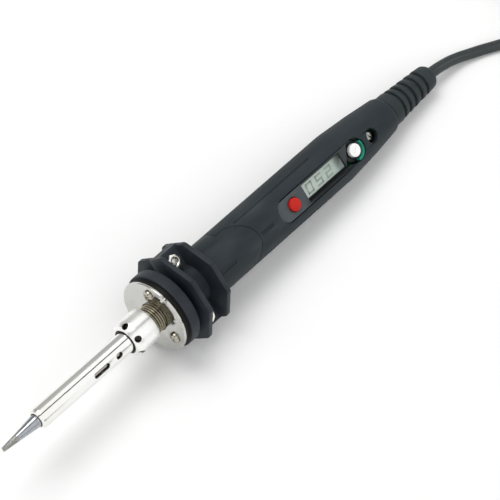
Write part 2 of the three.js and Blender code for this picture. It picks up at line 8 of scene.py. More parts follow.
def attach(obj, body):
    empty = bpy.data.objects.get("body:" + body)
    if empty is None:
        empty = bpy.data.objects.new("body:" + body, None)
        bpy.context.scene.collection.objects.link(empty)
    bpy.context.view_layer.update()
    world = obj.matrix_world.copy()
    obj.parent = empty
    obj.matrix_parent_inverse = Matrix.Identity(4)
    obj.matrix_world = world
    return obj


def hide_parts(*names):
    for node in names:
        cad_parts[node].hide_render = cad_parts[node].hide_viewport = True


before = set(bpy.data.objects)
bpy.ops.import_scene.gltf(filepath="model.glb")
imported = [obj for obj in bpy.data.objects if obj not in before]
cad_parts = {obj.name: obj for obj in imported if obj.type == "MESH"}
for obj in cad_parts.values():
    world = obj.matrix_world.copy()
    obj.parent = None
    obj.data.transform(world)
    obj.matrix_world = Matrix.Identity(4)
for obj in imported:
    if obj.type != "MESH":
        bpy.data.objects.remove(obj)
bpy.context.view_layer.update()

# ---- Frames ----
MM = 0.001
TILT = 0.077887  # the iron lies with its bit end raised
ROLL = math.pi / 4  # and rolled on to a facet of its collar
TIP = (-0.116745, -0.000012, 0.024041)
TABLE = Matrix.Scale(MM, 4)
TOOL = (
    Matrix.Translation(TIP)
    @ Matrix.Rotation(TILT, 4, "Y")
    @ Matrix.Rotation(ROLL, 4, "X")
    @ TABLE
)

# ---- Camera ----
AZIMUTH, ELEVATION, DISTANCE = -49.31, 55.18, 0.86817
TARGET = Vector((0.00572, -0.00458, 0.01294))


def add_object(name, data):
    obj = bpy.data.objects.new(name, data)
    bpy.context.scene.collection.objects.link(obj)
    return obj


def set_up(name, data, azimuth, elevation, distance, target=(0, 0, 0)):
    """Adds a camera or lamp, at these angles in degrees from its target, looking back at it."""
    a, e = math.radians(azimuth), math.radians(elevation)
    towards = Vector((math.sin(a) * math.cos(e), -math.cos(a) * math.cos(e), math.sin(e)))
    obj = add_object(name, data)
    obj.location = Vector(target) + towards * distance
    obj.rotation_euler = towards.to_track_quat("Z", "Y").to_euler()
    return obj


def make_camera():
    data = bpy.data.cameras.new("camera")
    data.sensor_width = 36
    data.lens = 172.5
    bpy.context.scene.camera = set_up("camera", data, AZIMUTH, ELEVATION, DISTANCE, TARGET)


make_camera()


# ---- Materials ----
class Shader:
    """A procedural material: helper calls add nodes to it, in the iron's or the table's frame."""

    def __init__(self, name, matrix=TOOL):
        self.material = bpy.data.materials.new(name)
        self.material.use_nodes = True
        self.tree = self.material.node_tree
        self.bsdf = self.tree.nodes["Principled BSDF"]
        where = self.node("ShaderNodeTexCoord")
        place = self.node("ShaderNodeMapping", vector_type="TEXTURE")
        place.inputs["Location"].default_value = matrix.translation
        place.inputs["Rotation"].default_value = matrix.to_euler()
        place.inputs["Scale"].default_value = (MM, MM, MM)
        self.link(where.outputs["Object"], place.inputs["Vector"])
        self.place = place.outputs["Vector"]

    def node(self, kind, **settings):
        node = self.tree.nodes.new(kind)
        for key, value in settings.items():
            setattr(node, key, value)
        return node

    def link(self, output, socket):
        self.tree.links.new(output, socket)

    def noise(self, size, detail=3, stretch=(1, 1, 1), roughness=0.5):
        """Noise of about this grain size in millimetres, stretched along the frame's axes."""
        mapping = self.node("ShaderNodeMapping")
        mapping.inputs["Scale"].default_value = [1 / (size * s) for s in stretch]
        self.link(self.place, mapping.inputs["Vector"])
        noise = self.node("ShaderNodeTexNoise")
        noise.inputs["Scale"].default_value = 1
        noise.inputs["Detail"].default_value = detail
        noise.inputs["Roughness"].default_value = roughness
        self.link(mapping.outputs["Vector"], noise.inputs["Vector"])
        return noise.outputs["Fac"]

    def along(self, axis=0):
        split = self.node("ShaderNodeSeparateXYZ")
        self.link(self.place, split.inputs["Vector"])
        return split.outputs[axis]

    def math(self, operation, a, b=0.0, c=0.0):
        node = self.node("ShaderNodeMath", operation=operation)
        for socket, value in zip(node.inputs, (a, b, c)):
            if isinstance(value, (int, float)):
                socket.default_value = value
            else:
                self.link(value, socket)
        return node.outputs[0]

    def fade(self, value, low, high, to_low=0.0, to_high=1.0, smooth=True):
        node = self.node("ShaderNodeMapRange")
        node.interpolation_type = "SMOOTHSTEP" if smooth else "LINEAR"
        self.link(value, node.inputs["Value"])
        ends = {"From Min": low, "From Max": high, "To Min": to_low, "To Max": to_high}
        for key, number in ends.items():
            node.inputs[key].default_value = number
        return node.outputs["Result"]

    def blend(self, factor, first, second):
        """A colour between two, each a colour or another output."""
        node = self.node("ShaderNodeMix", data_type="RGBA")
        self.link(factor, node.inputs["Factor"])
        for socket, value in ((node.inputs[6], first), (node.inputs[7], second)):
            if isinstance(value, (tuple, list)):
                socket.default_value = (*value, 1)
            else:
                self.link(value, socket)
        return node.outputs[2]

    def set(self, **values):
        for key, value in values.items():
            socket = self.bsdf.inputs[key.replace("_", " ")]
            if isinstance(value, tuple):
                socket.default_value = (*value, 1)
            elif isinstance(value, (int, float)):
                socket.default_value = value
            else:
                self.link(value, socket)
        return self

    def bump(self, height, distance, strength=1.0):
        """Bump from a height from 0 to 1, of this depth in millimetres."""
        node = self.node("ShaderNodeBump")
        node.inputs["Distance"].default_value = distance * MM
        node.inputs["Strength"].default_value = strength
        self.link(height, node.inputs["Height"])
        self.link(node.outputs["Normal"], self.bsdf.inputs["Normal"])
        return self


def plated(name, colour, roughness, dull=0.1, matrix=TOOL):
    """Bright plate or polished steel with turning marks and a little tarnish."""
    shader = Shader(name, matrix)
    marks = shader.noise(0.25, 2, (0.35, 6, 6))
    cloud = shader.noise(5, 4)
    tarnish = shader.fade(cloud, 0.45, 0.75)
    darker = tuple(c * f for c, f in zip(colour, (0.86, 0.83, 0.77)))
    shader.set(Base_Color=shader.blend(tarnish, colour, darker), Metallic=1.0)
    rough = shader.math("MULTIPLY_ADD", marks, dull, roughness - dull / 2)
    shader.set(Roughness=shader.math("MULTIPLY_ADD", tarnish, 0.06, rough))
    return shader.bump(marks, 0.004).material


def moulded(name, colour, roughness, grain=0.35, depth=0.02, lift=0.35, shine=0.5, matrix=TOOL):
    """Moulded plastic: a fine spark-eroded grain, faint clouding and slightly polished patches."""
    shader = Shader(name, matrix)
    fine = shader.noise(grain, 3)
    cloud = shader.noise(9, 4)
    lighter = tuple(min(1, c * (1 + lift) + 0.002) for c in colour)
    darker = tuple(c * (1 - lift / 2) for c in colour)
    tone = shader.blend(shader.fade(cloud, 0.3, 0.7), darker, lighter)
    specks = shader.fade(fine, 0.55, 0.8, 0, 0.35)
    shader.set(Base_Color=shader.blend(specks, tone, lighter), Specular_IOR_Level=shine)
    shader.set(Roughness=shader.math("MULTIPLY_ADD", cloud, 0.16, roughness - 0.08))
    return shader.bump(fine, depth).material


def radius_squared(shader):
    y, z = shader.along(1), shader.along(2)
    return shader.math("ADD", shader.math("MULTIPLY", y, y), shader.math("MULTIPLY", z, z))


NUT_FRONT, NUT_END, NUT_R = 61.2, 71.7, 7.05
NUT_SHOULDER, NUT_MOUTH_R = NUT_FRONT + 3, NUT_R - 1.75


def nut_metal():
    """Satin nickel plate, with painted shade down in its pin holes and round its mouth."""
    shader = Shader("nut_nickel")
    marks = shader.noise(0.25, 2, (0.35, 6, 6))
    cloud = shader.noise(5, 4)
    plate = shader.blend(shader.fade(cloud, 0.4, 0.75), (0.95, 0.95, 0.94), (0.90, 0.89, 0.86))
    x = shader.along(0)
    surface = shader.fade(x, NUT_FRONT, NUT_SHOULDER, NUT_MOUTH_R, NUT_R, smooth=False)
    depth = shader.math("SUBTRACT", surface, shader.math("POWER", radius_squared(shader), 0.5))
    # painted shade: the nickel turns near black the deeper a point lies below the nut's outer
    # surface, in its pin holes and inside its mouth
    painted_recess_shade = shader.fade(depth, 0.15, 0.5)
    shader.set(Base_Color=shader.blend(painted_recess_shade, plate, (0.035, 0.033, 0.028)), Metallic=1.0)
    shader.set(Roughness=shader.math("MULTIPLY_ADD", marks, 0.1, 0.24))
    return shader.bump(marks, 0.004).material


NECK_END = 79.0  # where the front bush's neck meets its drum


def bush_plastic():
    """The front bush's black plastic, with painted shade that turns its neck near black under the
    plate's rim.
    """
    shader = Shader("bush_black")
    fine = shader.noise(0.5, 3)
    cloud = shader.fade(shader.noise(9, 4), 0.3, 0.7)
    tone = shader.blend(cloud, (0.016, 0.021, 0.026), (0.024, 0.030, 0.036))
    # painted shade: in front of the drum the neck is near black
    neck = shader.fade(shader.along(0), NECK_END + 0.4, NECK_END - 0.2)
    shader.set(Base_Color=shader.blend(neck, tone, (0.003, 0.003, 0.003)), Specular_IOR_Level=0.2)
    shader.set(Roughness=shader.fade(fine, 0.3, 0.7, 0.42, 0.56))
    return shader.bump(fine, 0.008).material


HANDLE_DARK = (0.015, 0.022, 0.026)
HANDLE_LIGHT = (0.021, 0.029, 0.034)
HANDLE_WORN = (0.034, 0.043, 0.049)


def handle_plastic():
    """Slate plastic with a fine grain that is a little smoother and lighter where it is held."""
    shader = Shader("handle_slate")
    fine = shader.noise(0.22, 2)
    cloud = shader.noise(7, 4, (3, 1, 1))
    x = shader.along(0)
    held = shader.math("MULTIPLY", shader.fade(x, 100, 118), shader.fade(x, 150, 128))
    worn = shader.math("MULTIPLY", held, shader.fade(cloud, 0.4, 0.7))
    tone = shader.blend(shader.fade(cloud, 0.3, 0.7), HANDLE_DARK, HANDLE_LIGHT)
    tone = shader.blend(shader.math("MULTIPLY", worn, 0.5), tone, HANDLE_WORN)
    specks = shader.fade(fine, 0.58, 0.8, 0, 0.3)
    shader.set(Base_Color=shader.blend(specks, tone, HANDLE_WORN), Specular_IOR_Level=0.22)
    rough = shader.fade(fine, 0.3, 0.7, 0.55, 0.65)
    shader.set(Roughness=shader.math("MULTIPLY_ADD", worn, -0.12, rough))
    return shader.bump(fine, 0.025).material


def panel_plastic():
    """The control panel: lighter than the handle at its button end, where a painted reflection
    lies, and with painted shade along its -y side beyond there.
    """
    shader = Shader("panel_grey")
    fine = shader.noise(0.2, 2)
    far = shader.fade(shader.along(0), 147, 156)
    # painted reflection: the panel is lighter at its button end, fading out from x 147 to 156
    tone = shader.blend(far, (0.062, 0.076, 0.084), (0.034, 0.041, 0.044))
    # painted shade: beyond the button end the panel turns near black towards its -y side
    painted_side_shade = shader.math("MULTIPLY", far, shader.fade(shader.along(1), 0.5, -3.5))
    tone = shader.blend(painted_side_shade, tone, (0.007, 0.009, 0.011))
    specks = shader.fade(fine, 0.55, 0.8, 0, 0.2)
    shader.set(Base_Color=shader.blend(specks, tone, (0.07, 0.08, 0.088)), Specular_IOR_Level=0.25)
    shader.set(Roughness=shader.fade(fine, 0.3, 0.7, 0.45, 0.58))
    return shader.bump(fine, 0.015).material


def bit_metal():
    """A plated bit: bright on its cone, greyer and rougher where its end is tinned."""
    shader = Shader("bit_tinned")
    ragged = shader.math("MULTIPLY_ADD", shader.noise(1.1, 3), 1.2, shader.along(0))
    plate = shader.fade(ragged, 6.6, 7.4)
    scale = shader.fade(shader.noise(0.7, 4), 0.35, 0.7)
    tinned = shader.blend(scale, (0.24, 0.24, 0.22), (0.40, 0.40, 0.38))
    bright = shader.blend(scale, (0.35, 0.37, 0.40), (0.44, 0.46, 0.49))
    inside = shader.fade(shader.along(0), 19, 24)
    bright = shader.blend(inside, bright, (0.36, 0.33, 0.31))
    shader.set(Base_Color=shader.blend(plate, tinned, bright), Metallic=1.0)
    rough = shader.math("MULTIPLY_ADD", scale, 0.07, shader.fade(plate, 0, 1, 0.38, 0.09))
    shader.set(Roughness=rough)
    lumps = shader.math("MULTIPLY", scale, shader.fade(plate, 0, 1, 1, 0.1))
    return shader.bump(lumps, 0.05).material


def barrel_metal():
    """Polished stainless tube, faintly straw-coloured near its mouth from the heat."""
    shader = Shader("barrel_steel")
    marks = shader.noise(0.3, 2, (14, 0.6, 0.6))
    heat = shader.fade(shader.along(0), 34, 16)
    cloud = shader.noise(4, 3)
    warm = shader.math("MULTIPLY", heat, shader.fade(cloud, 0.2, 0.8, 0.3, 1))
    shader.set(Base_Color=shader.blend(warm, (0.90, 0.90, 0.88), (0.86, 0.84, 0.79)), Metallic=1.0)
    shader.set(Roughness=shader.fade(marks, 0.3, 0.7, 0.06, 0.14))
    return shader.bump(marks, 0.003).material


def thread_metal():
    """Dull brass: a painted highlight makes the thread's crests pale, and painted shade makes it
    dark brown down in its grooves.
    """
    shader = Shader("thread_brass")
    # painted highlight and shade: the crests are painted pale and the grooves dark brown
    crest = shader.fade(radius_squared(shader), 27.6, 30.4)
    cloud = shader.noise(2, 4)
    # worn: the pale crest colour of the painted highlight, mottled at random
    worn = shader.blend(cloud, (0.33, 0.30, 0.21), (0.48, 0.45, 0.34))
    shader.set(Base_Color=shader.blend(crest, (0.085, 0.070, 0.045), worn), Metallic=1.0)
    shader.set(Roughness=shader.fade(cloud, 0.3, 0.7, 0.26, 0.4))
    return shader.bump(cloud, 0.01).material


def cord_plastic():
    """Soft black PVC: satin, with faint scuffs and dust along it."""
    shader = Shader("cord_black", TABLE)
    fine = shader.noise(0.5, 3)
    scuff = shader.fade(shader.noise(2.5, 5), 0.55, 0.75)
    tone = shader.blend(scuff, (0.018, 0.025, 0.026), (0.036, 0.046, 0.047))
    shader.set(Base_Color=tone, Roughness=shader.fade(scuff, 0, 1, 0.38, 0.52))
    return shader.bump(fine, 0.01).material


def pot_plastic():
    """The temperature pot: green on the guard round its dial, and painted shade, near black, down
    in its body.
    """
    shader = Shader("pot_green")
    fine = shader.noise(0.4, 3)
    # painted shade: below z 6.6 the green pot turns near black
    guard = shader.fade(shader.along(2), 6.6, 7.2)
    green = shader.blend(shader.fade(fine, 0.3, 0.7), (0.014, 0.20, 0.14), (0.018, 0.25, 0.17))
    shader.set(Base_Color=shader.blend(guard, (0.003, 0.010, 0.011), green), Specular_IOR_Level=0.3)
    shader.set(Roughness=shader.fade(fine, 0.3, 0.7, 0.3, 0.42))
    return shader.bump(fine, 0.01).material


def display_face():
    """The liquid crystal's grey-green reflector under its glass, painted lighter at its button end
    and with painted shade towards its rear end.
    """
    shader = Shader("display_grey")
    x = shader.along(0)
    grain = shader.noise(0.12, 2)
    # painted shade: the reflector darkens towards its rear end, from x 169.5 to 173.4
    rear = shader.fade(x, 169.5, 173.4)
    # painted light: the reflector is lighter at its button end, fading from x 150 to 170
    tone = shader.blend(shader.fade(x, 150, 170), (0.56, 0.64, 0.58), (0.45, 0.55, 0.49))
    tone = shader.blend(rear, tone, (0.20, 0.24, 0.23))
    tone = shader.blend(shader.fade(grain, 0.4, 0.9, 0, 0.2), tone, (0.55, 0.60, 0.54))
    shader.set(Base_Color=tone, Coat_Weight=0.6, Coat_Roughness=0.06)
    return shader.set(Roughness=shader.fade(grain, 0.3, 0.7, 0.3, 0.45)).material


# Materials with a function of their own
OWN = {
    "bit_tinned": bit_metal,
    "barrel_steel": barrel_metal,
    "handle_slate": handle_plastic,
    "panel_grey": panel_plastic,
    "cord_black": cord_plastic,
    "display_grey": display_face,
    "pot_green": pot_plastic,
    "thread_brass": thread_metal,
    "nut_nickel": nut_metal,
    "bush_black": bush_plastic,
}
# Colour, roughness, strength of the turning marks, and frame
PLATED = {
    "plate_nickel": ((0.59, 0.59, 0.57), 0.14, 0.08),
    "screw_nickel": ((0.44, 0.42, 0.36), 0.17, 0.1),
    "clamp_nut_nickel": ((0.86, 0.85, 0.80), 0.16, 0.1),
    "bolt_steel": ((0.70, 0.69, 0.66), 0.25, 0.1),
    "screw_brass": ((0.36, 0.36, 0.33), 0.24),
    "blade_brass": ((0.74, 0.60, 0.34), 0.24, 0.1, TABLE),
}
# Colour, roughness, grain, its depth, mottling, shine and frame
MOULDED = {
    "collar_black": ((0.018, 0.024, 0.030), 0.46, 0.5, 0.008, 0.25, 0.2),
    "relief_black": ((0.018, 0.025, 0.028), 0.55, 0.3, 0.015, 0.25, 0.25),
    "button_red": ((0.46, 0.014, 0.009), 0.45, 0.3, 0.008, 0.12, 0.15),
    "dial_white": ((0.90, 0.90, 0.89), 0.35, 0.3, 0.006, 0.06),
    "trimmer_blue": ((0.02, 0.03, 0.05), 0.4, 0.4, 0.01, 0.2),
    "switch_black": ((0.015, 0.015, 0.016), 0.45),
    "holder_black": ((0.008, 0.009, 0.010), 0.5),
    "chip_black": ((0.02, 0.02, 0.021), 0.5),
    "heater_ceramic": ((0.80, 0.77, 0.71), 0.6, 0.25, 0.01, 0.08),
    "board_green": ((0.015, 0.11, 0.04), 0.3, 0.6, 0.01, 0.3),
    "film_yellow": ((0.60, 0.38, 0.05), 0.3, 0.8, 0.02, 0.15),
    "can_blue": ((0.03, 0.06, 0.25), 0.3, 0.8, 0.01, 0.15),
    "lead_red": ((0.42, 0.03, 0.02), 0.7, 0.25, 0.04, 0.2),
    "lead_white": ((0.74, 0.73, 0.69), 0.7, 0.25, 0.04, 0.1),
    "core_brown": ((0.11, 0.04, 0.015), 0.45, 0.5, 0.01, 0.2),
    "core_blue": ((0.025, 0.06, 0.30), 0.45, 0.5, 0.01, 0.2),
    "plug_black": ((0.020, 0.023, 0.025), 0.45, 0.4, 0.02, 0.3, 0.5, TABLE),
    "tie_black": ((0.012, 0.012, 0.013), 0.35, 0.4, 0.01, 0.3, 0.5, TABLE),
    "digit_grey": ((0.30, 0.36, 0.32), 0.4, 0.2, 0.002, 0.1),
}
MATERIALS = {}


def material(name):
    """Each material is made once, when a piece first asks for it."""
    if name not in MATERIALS:
        if name in OWN:
            MATERIALS[name] = OWN[name]()
        elif name in PLATED:
            MATERIALS[name] = plated(name, *PLATED[name])
        else:
            MATERIALS[name] = moulded(name, *MOULDED[name])
    return MATERIALS[name]


# ---- Mesh helpers ----
def arc_corner(before, corner, after, radius, steps):
    """The points that round a corner off, or the corner itself where it's too flat or sharp."""
    a, b = (before - corner), (after - corner)
    angle = a.angle(b)
    if radius <= 0 or angle > math.radians(176):
        return [corner]
    reach = min(radius / math.tan(angle / 2), 0.48 * a.length, 0.48 * b.length)
    radius = reach * math.tan(angle / 2)
    a.normalize()
    b.normalize()
    centre = corner + (a + b).normalized() * (radius / math.sin(angle / 2))
    start, end = corner + a * reach - centre, corner + b * reach - centre
    turn = start.angle_signed(end)
    points = []
    for i in range(steps + 1):
        t = -turn * i / steps
        c, s = math.cos(t), math.sin(t)
        points.append(centre + Vector((start.x * c - start.y * s, start.x * s + start.y * c)))
    return points


def rounded(points, closed, steps=4):
    """An outline whose points are (u, v) or (u, v, corner radius), with its corners rounded."""
    flat = [Vector(p[:2]) for p in points]
    result = []
    for i, p in enumerate(points):
        radius = p[2] if len(p) > 2 else 0
        ends = not closed and i in (0, len(points) - 1)
        if ends or not radius:
            result.append(flat[i])
        else:
            result += arc_corner(flat[i - 1], flat[i], flat[(i + 1) % len(flat)], radius, steps)
    return result


def to_mesh(bm, name="shape"):
    bmesh.ops.recalc_face_normals(bm, faces=bm.faces)
    mesh = bpy.data.meshes.new(name)
    bm.to_mesh(mesh)
    bm.free()
    return mesh


def skin(bm, rings, closed=False):
    """The mesh of a tube through rings of vertices, closed at its ends or round on itself."""
    for a, b in zip(rings, rings[1:] + rings[:1] if closed else rings[1:]):
        for k in range(len(a)):
            n = (k + 1) % len(a)
            bm.faces.new((a[k], a[n], b[n], b[k]))
    if not closed:
        bm.faces.new(rings[0])
        bm.faces.new(rings[-1][::-1])
    return to_mesh(bm)


def lathe(profile, sides=96, axis="x", steps=4):
    """A body of revolution from (along, radius, corner radius) points; it closes on the axis or,
    where its first point is off the axis, on itself."""
    closed = profile[0][1] > 0
    outline = rounded(profile, closed, steps)
    bm = bmesh.new()
    rings = []
    for along, radius in outline:
        count = sides if radius > 1e-6 else 1
        ring = []
        for k in range(count):
            a = 2 * math.pi * k / sides
            u, v = radius * math.cos(a), radius * math.sin(a)
            ring.append(bm.verts.new((along, u, v) if axis == "x" else (u, v, along)))
        rings.append(ring)
    pairs = list(zip(rings, rings[1:]))
    if closed:
        pairs.append((rings[-1], rings[0]))
    for a, b in pairs:
        if len(a) == 1 and len(b) == 1:
            continue
        for k in range(sides):
            n = (k + 1) % sides
            corners = [a[k % len(a)], b[k % len(b)], b[n % len(b)], a[n % len(a)]]
            bm.faces.new(list(dict.fromkeys(corners)))
    return to_mesh(bm)


def prism(outline, low, high, edge=0.0, axis="z", steps=5, segments=3):
    """An outline raised from low to high along an axis, with its two rims rounded."""
    bm = bmesh.new()
    points = rounded(outline, True, steps)
    base = bm.faces.new([bm.verts.new((p[0], p[1], low)) for p in points])
    raised = bmesh.ops.extrude_face_region(bm, geom=[base])
    moved = [v for v in raised["geom"] if isinstance(v, bmesh.types.BMVert)]
    bmesh.ops.translate(bm, vec=(0, 0, high - low), verts=moved)
    bmesh.ops.recalc_face_normals(bm, faces=bm.faces)
    if edge:
        rims = [e for e in bm.edges if abs(e.verts[0].co.z - e.verts[1].co.z) < 1e-6]
        bmesh.ops.bevel(bm, geom=rims, offset=edge, segments=segments, profile=0.5, affect="EDGES")
    if axis == "x":
        for v in bm.verts:
            v.co = (v.co.z, v.co.x, v.co.y)
    return to_mesh(bm)


def block(x0, x1, y0, y1, z0, z1, edge=0.0):
    return prism([(x0, y0), (x1, y0), (x1, y1), (x0, y1)], z0, z1, edge)


def polar(radius, angle, centre=0):
    return centre + radius * math.cos(angle), radius * math.sin(angle)


def arc(centre, radius, start, turn, steps):
    """Points round a circle centred this far along, from one angle through a turn."""
    return [polar(radius, start + turn * i / steps, centre) for i in range(steps + 1)]


def half_space(side, reach, seam):
    """What lies above the iron's middle, or below it, by half the seam between two halves."""
    low, high = (seam, reach) if side > 0 else (-reach, -seam)
    return block(80, 215, -reach, reach, low, high)


def stadium(front, rear, half):
    """Outline of a slot along x that ends at front and at rear with half circles."""
    front_end = arc(front + half, half, math.pi / 2, math.pi, 16)
    return front_end + arc(rear - half, half, -math.pi / 2, math.pi, 16)


def rod_z(x, y, z0, z1, radius, sides=48):
    return placed(lathe([(z0, 0), (z0, radius), (z1, radius), (z1, 0)], sides, "z"), x, y)


def moved_by(mesh, matrix):
    mesh.transform(matrix)
    return mesh


def turning(degrees, axis):
    return Matrix.Rotation(math.radians(degrees), 4, axis)


def upright(mesh):
    """Turns something drawn flat so that its y points up."""
    return moved_by(mesh, turning(90, "X"))


def placed(mesh, x, y=0, turned=0):
    """Takes something drawn round the z axis to its place, turned by this many degrees."""
    return moved_by(mesh, Matrix.Translation((x, y, 0)) @ turning(turned, "Z"))


def evaluated(mesh, add_modifiers):
    """The mesh after modifiers that the callback puts on a passing object."""
    holder = add_object("holder", mesh)
    extra = add_modifiers(holder) or []
    graph = bpy.context.evaluated_depsgraph_get()
    result = bpy.data.meshes.new_from_object(holder.evaluated_get(graph))
    for obj in [holder, *extra]:
        bpy.data.objects.remove(obj)
    return result


def combined(mesh, operation, others):
    def add(holder):
        tools = []
        for other in others:
            tool = add_object("tool", other)
            step = holder.modifiers.new("step", "BOOLEAN")
            step.operation = operation
            step.object = tool
            step.solver = "MANIFOLD"
            tools.append(tool)
        return tools

    return evaluated(mesh, add)


def cut(mesh, *others):
    return combined(mesh, "DIFFERENCE", others)


def join(mesh, *others):
    return combined(mesh, "UNION", others)


def common(mesh, *others):
    return combined(mesh, "INTERSECT", others)


def softened(mesh, width, angle=40, segments=2):
    """Rounds the edges that are sharper than the angle."""

    def add(holder):
        weld = holder.modifiers.new("weld", "WELD")
        weld.merge_threshold = 0.002
        bevel = holder.modifiers.new("bevel", "BEVEL")
        bevel.width = width
        bevel.segments = segments
        bevel.limit_method = "ANGLE"
        bevel.angle_limit = math.radians(angle)
        bevel.use_clamp_overlap = False
        bevel.miter_outer = "MITER_ARC"

    return evaluated(mesh, add)


def piece(name, mesh, slot, body="handle", nodes=(), matrix=TOOL, finish=None, angle=32):
    """Puts a mesh into the scene as a piece that rides on a body and stands for CAD nodes."""
    mesh.transform(matrix)
    mesh.shade_smooth()
    mesh.set_sharp_from_angle(angle=math.radians(angle))
    mesh.name = name
    obj = add_object(name, mesh)
    mesh.materials.clear()
    mesh.materials.append(material(finish or slot))
    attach(obj, body)
    if nodes:
        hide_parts(*nodes)
    return obj


def sweep(points, section, up=(0, 0, 1)):
    """A section, as (sideways, upwards) points, carried along a path and closed at its ends."""
    bm = bmesh.new()
    rings = []
    for i, p in enumerate(points):
        ahead = Vector(points[min(i + 1, len(points) - 1)]) - Vector(points[max(i - 1, 0)])
        side = Vector(up).cross(ahead).normalized()
        above = ahead.cross(side).normalized()
        rings.append([bm.verts.new(Vector(p) + side * u + above * v) for u, v in section])
    return skin(bm, rings)


def smooth_path(points, spacing):
    """Points about this far apart on a Catmull-Rom curve through the given ones."""
    vectors = [Vector(p) for p in points]
    ends = [2 * vectors[0] - vectors[1], *vectors, 2 * vectors[-1] - vectors[-2]]
    result = []
    for a, b, c, d in zip(ends, ends[1:], ends[2:], ends[3:]):
        steps = max(1, round((c - b).length / spacing))
        for i in range(steps):
            t = i / steps
            square, cube = 2 * a - 5 * b + 4 * c - d, 3 * b - a - 3 * c + d
            result.append(0.5 * (2 * b + (c - a) * t + square * t**2 + cube * t**3))
    result.append(vectors[-1])
    return result


# ---- Cord, hank and plug ----
CORD_WIDE, CORD_HIGH = 4.8, 2.4
CORD_ROUTE = [
    (116.9, 0, 5.8), (121, -0.2, 5.4), (126.3, -0.7, 4.4), (130.2, -1.3, 3.5), (134, -2.2, 2.6),
    (138.2, -3.8, 1.9), (142.4, -5.6, 1.5), (146.2, -7.6, 1.35), (150, -9.7, 1.3),
    (153.5, -11.7, 1.3), (157.5, -13.2, 1.35), (162, -14.15, 1.45), (168, -14.4, 1.6),
    (174, -14.4, 1.7), (184, -14.4, 1.7),
]
TAIL_ROUTE = [
    (258, -14.4, 14.2), (264.4, -14.0, 13.8), (270, -12.7, 12.3), (276, -10.7, 10.1),
    (282, -8.7, 7.9), (288, -7.3, 6.35), (292, -7, 6.0), (296.5, -7, 6.0),
]
HANK_FRONT, HANK_REAR = 194, 251  # the centres of its folds
FOLD = 14.4  # three widths of the cord
WAIST = 3.0  # how far from the middle each run is where the tie draws it in
HANK_LOW, LAYER = 1.7, 2.5
TURNS = 5
PLUG_Y, PLUG_REAR, PLUG_FRONT, PLUG_HIGH = -7, 295, 321, 12


def ease(t):
    return t * t * (3 - 2 * t)


def hank_run(direction, z):
    """A straight run of the hank, drawn in towards its waist. It is 1 towards the plug, or -1."""
    length = HANK_REAR - HANK_FRONT
    points = []
    for i in range(12):
        t = i / 12
        x = HANK_FRONT + length * (t if direction > 0 else 1 - t)
        y = FOLD - (FOLD - WAIST) * (1 - math.cos(2 * math.pi * t)) / 2
        points.append((x, -direction * y, z))
    return points


def hank_route():
    """The hank's turns. Each rises by the cord's thickness at the fold nearer the iron."""
    points = []
    for turn in range(TURNS):
        z = HANK_LOW + LAYER * turn
        points += hank_run(1, z)
        rear_fold = arc(HANK_REAR, FOLD, -math.pi / 2, math.pi, 8)[:-1]
        points += [(x, y, z) for x, y in rear_fold]
        points += hank_run(-1, z)
        front_fold = arc(HANK_FRONT, FOLD, math.pi / 2, math.pi, 8)[:-1]
        points += [(x, y, z + LAYER * ease(i / 8)) for i, (x, y) in enumerate(front_fold)]
    points += hank_run(1, HANK_LOW + LAYER * TURNS)
    points.append((HANK_REAR, -FOLD, HANK_LOW + LAYER * TURNS))
    return points


def twin_section():
    """Two round lobes side by side, with a groove between them on each face."""
    lobe, turn = CORD_HIGH / 2, 1.6 * math.pi
    near = arc(lobe, lobe, -0.8 * math.pi, turn, 12)
    return near + arc(-lobe, lobe, 0.2 * math.pi, turn, 12)


def make_cord():
    route = smooth_path([*CORD_ROUTE, *hank_route(), *TAIL_ROUTE], 1.2)
    nodes = ("mains_cord", "cord_hank", "cord_tail")
    mesh = sweep(route, twin_section())
    lead = piece("mains_lead", mesh, "cord_black", nodes=nodes, matrix=TABLE, angle=60)
    return lead, [tuple(c * MM for c in p) for p in route]


def plug_body():
    edge = 1.4
    half = 10
    outline = [
        (PLUG_REAR, PLUG_Y - 4.2, 1.2), (PLUG_REAR + 6, PLUG_Y - 4.4, 5),
        (PLUG_REAR + 12, PLUG_Y - half, 3), (PLUG_FRONT, PLUG_Y - half, 1.6),
        (PLUG_FRONT, PLUG_Y + half, 1.6), (PLUG_REAR + 12, PLUG_Y + half, 3),
        (PLUG_REAR + 6, PLUG_Y + 4.4, 5), (PLUG_REAR, PLUG_Y + 4.2, 1.2),
    ]
    body = prism(outline, 0, PLUG_HIGH, edge, segments=4)
    grooves = []
    for i in range(4):
        x = PLUG_REAR + 13.4 + 1.9 * i
        for z in (-0.6, PLUG_HIGH - 0.5):
            grooves.append(block(x, x + 0.9, PLUG_Y - 7, PLUG_Y + 7, z, z + 1.1, 0.3))
    return softened(cut(body, *grooves), 0.12, 50)


def plug_blade(side):
    """A flat blade with a chamfered end and a hole across it."""
    y = PLUG_Y + side * 6.35
    tall, middle, tip = 3.175, PLUG_HIGH / 2, PLUG_FRONT + 16
    outline = [
        (PLUG_FRONT - 8.5, middle - tall), (tip, middle - tall, 1.0), (tip, middle + tall, 1.0),
        (PLUG_FRONT - 8.5, middle + tall),
    ]
    blade = placed(upright(prism(outline, -0.75, 0.75, 0.25)), 0, y)
    hole = upright(rod_z(0, 0, -2, 2, 1.6))
    return cut(blade, moved_by(hole, Matrix.Translation((tip - 4.8, y, middle))))


